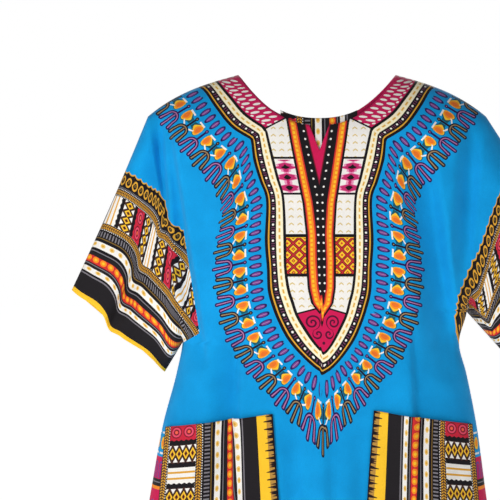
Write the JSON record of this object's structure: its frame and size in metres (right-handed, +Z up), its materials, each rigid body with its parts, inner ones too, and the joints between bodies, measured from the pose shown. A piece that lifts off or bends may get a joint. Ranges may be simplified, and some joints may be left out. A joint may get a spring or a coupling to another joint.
{
  "type": "dashiki shirt",
  "caption": "Loose pullover dashiki shirt, cut in one with its short sleeves, open at neck, cuffs and hem, with patch pockets, hollow and filled out as when worn.",
  "frame": {"origin": "midway between the two neck points, where the shoulder seams meet the neckline and the wearer's shoulders carry the shirt", "axes": "+Z up, -Y to the front of the shirt, +X to the right as seen from the front"},
  "size_m": [0.792, 0.2493, 0.7602],
  "materials": {
    "printed_cotton": "plain-weave wax-print cotton, turquoise blue ground with a black, gold, white and crimson print, softly lustrous",
    "border_cotton": "the same cotton cut from its selvedge border, bands of black, gold, white and red",
    "striped_cotton": "the same cotton cut from its border stripes, gold, white and black"
  },
  "bodies": {
    "root": {"front": "printed_cotton", "back": "printed_cotton", "pocket_left": "border_cotton", "pocket_right": "border_cotton", "neck_insert": "striped_cotton"}
  },
  "joints": []
}
